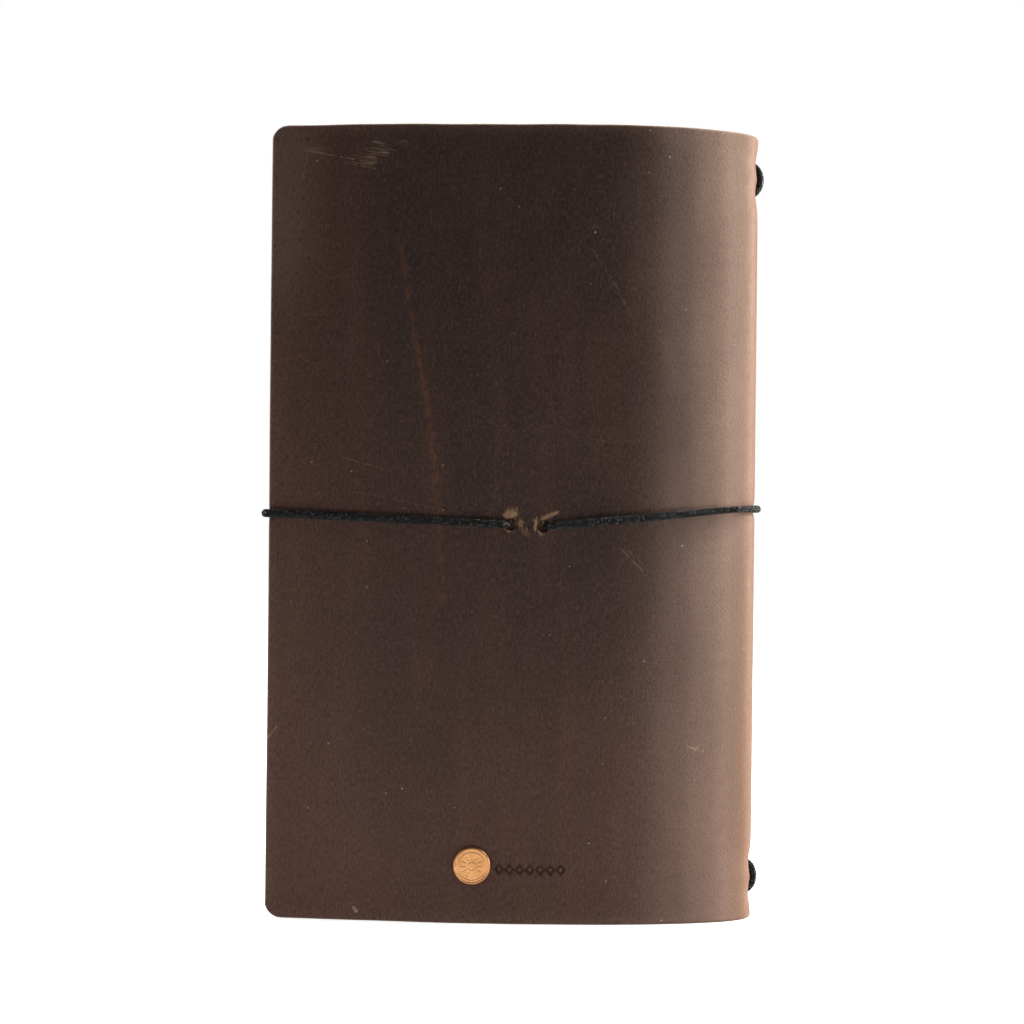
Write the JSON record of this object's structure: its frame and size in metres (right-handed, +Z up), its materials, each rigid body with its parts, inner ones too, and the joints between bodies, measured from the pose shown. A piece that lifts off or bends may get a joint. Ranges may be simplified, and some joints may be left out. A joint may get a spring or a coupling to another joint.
{
  "type": "leather notebook cover",
  "caption": "Upright leather wrap cover with a rounded spine, filled with stitched-in paper refills and held shut by a round elastic from two punched holes in the back",
  "frame": {"origin": "centre of the bounding box in plan, on the plane of the cover's bottom edges", "axes": "+Z up along the cover's height, +X from the fore edge to the spine, +Y from the back cover (which carries the rivet and both elastic holes) to the front cover"},
  "size_m": [0.1374, 0.0297, 0.216],
  "materials": {
    "leather": "dark chocolate pull-up leather, waxed satin, raw cut edges",
    "elastic": "black braided round elastic",
    "copper": "polished copper",
    "card": "plain brown kraft card",
    "paper": "cream paper, cut edges",
    "steel": "bright wire"
  },
  "bodies": {
    "spine": {"spine_leather": "leather", "binding_elastic": "elastic", "rear_refill_fold": "card", "rear_refill_lower_staple": "steel", "rear_refill_upper_staple": "steel", "front_refill_fold": "card", "front_refill_lower_staple": "steel", "front_refill_upper_staple": "steel"},
    "back_cover": {"back_cover_leather": "leather", "closure_elastic_back_run": "elastic", "rivet_face_cap": "copper", "rivet_back_cap": "copper"},
    "front_cover": {"front_cover_leather": "leather"},
    "closure_loop": {"closure_elastic_loop": "elastic"},
    "rear_outer_leaf": {"rear_refill_cover_side_card": "card", "rear_refill_cover_side_pages": "paper"},
    "rear_inner_leaf": {"rear_refill_inner_side_card": "card", "rear_refill_inner_side_pages": "paper"},
    "front_inner_leaf": {"front_refill_inner_side_card": "card", "front_refill_inner_side_pages": "paper"},
    "front_outer_leaf": {"front_refill_cover_side_card": "card", "front_refill_cover_side_pages": "paper"}
  },
  "joints": [
    {"name": "front_cover_hinge", "type": "hinge", "parent": "spine", "child": "front_cover", "pos_m": [0.06568, 0.00418, 0.108], "axis": [0, 0, -1], "range_deg": [0, 90]},
    {"name": "back_cover_hinge", "type": "hinge", "parent": "spine", "child": "back_cover", "pos_m": [0.06568, -0.00418, 0.108], "axis": [0, 0, 1], "range_deg": [0, 90]},
    {"name": "closure_loop_release", "type": "hinge", "parent": "back_cover", "child": "closure_loop", "pos_m": [-0.0646, -0.0093, 0.1102], "axis": [-0.9998, 0, -0.0178], "range_deg": [0, 103], "deforming": ["closure_elastic_loop"]},
    {"name": "rear_outer_leaf_hinge", "type": "hinge", "parent": "spine", "child": "rear_outer_leaf", "pos_m": [0.0609, -0.00208, 0.108], "axis": [0, 0, 1], "range_deg": [0, 80]},
    {"name": "rear_inner_leaf_hinge", "type": "hinge", "parent": "spine", "child": "rear_inner_leaf", "pos_m": [0.0609, -0.00208, 0.108], "axis": [0, 0, 1], "range_deg": [0, 58]},
    {"name": "front_inner_leaf_hinge", "type": "hinge", "parent": "spine", "child": "front_inner_leaf", "pos_m": [0.0609, 0.00208, 0.108], "axis": [0, 0, -1], "range_deg": [0, 58]},
    {"name": "front_outer_leaf_hinge", "type": "hinge", "parent": "spine", "child": "front_outer_leaf", "pos_m": [0.0609, 0.00208, 0.108], "axis": [0, 0, -1], "range_deg": [0, 80]}
  ],
  "couplings": [
    {"joint": "back_cover_hinge", "follows": "front_cover_hinge", "ratio": 1},
    {"joint": "closure_loop_release", "follows": "front_cover_hinge", "ratio": 1.1444},
    {"joint": "rear_outer_leaf_hinge", "follows": "front_cover_hinge", "ratio": 0.88888},
    {"joint": "rear_inner_leaf_hinge", "follows": "front_cover_hinge", "ratio": 0.64444},
    {"joint": "front_inner_leaf_hinge", "follows": "front_cover_hinge", "ratio": 0.64444},
    {"joint": "front_outer_leaf_hinge", "follows": "front_cover_hinge", "ratio": 0.88888}
  ]
}
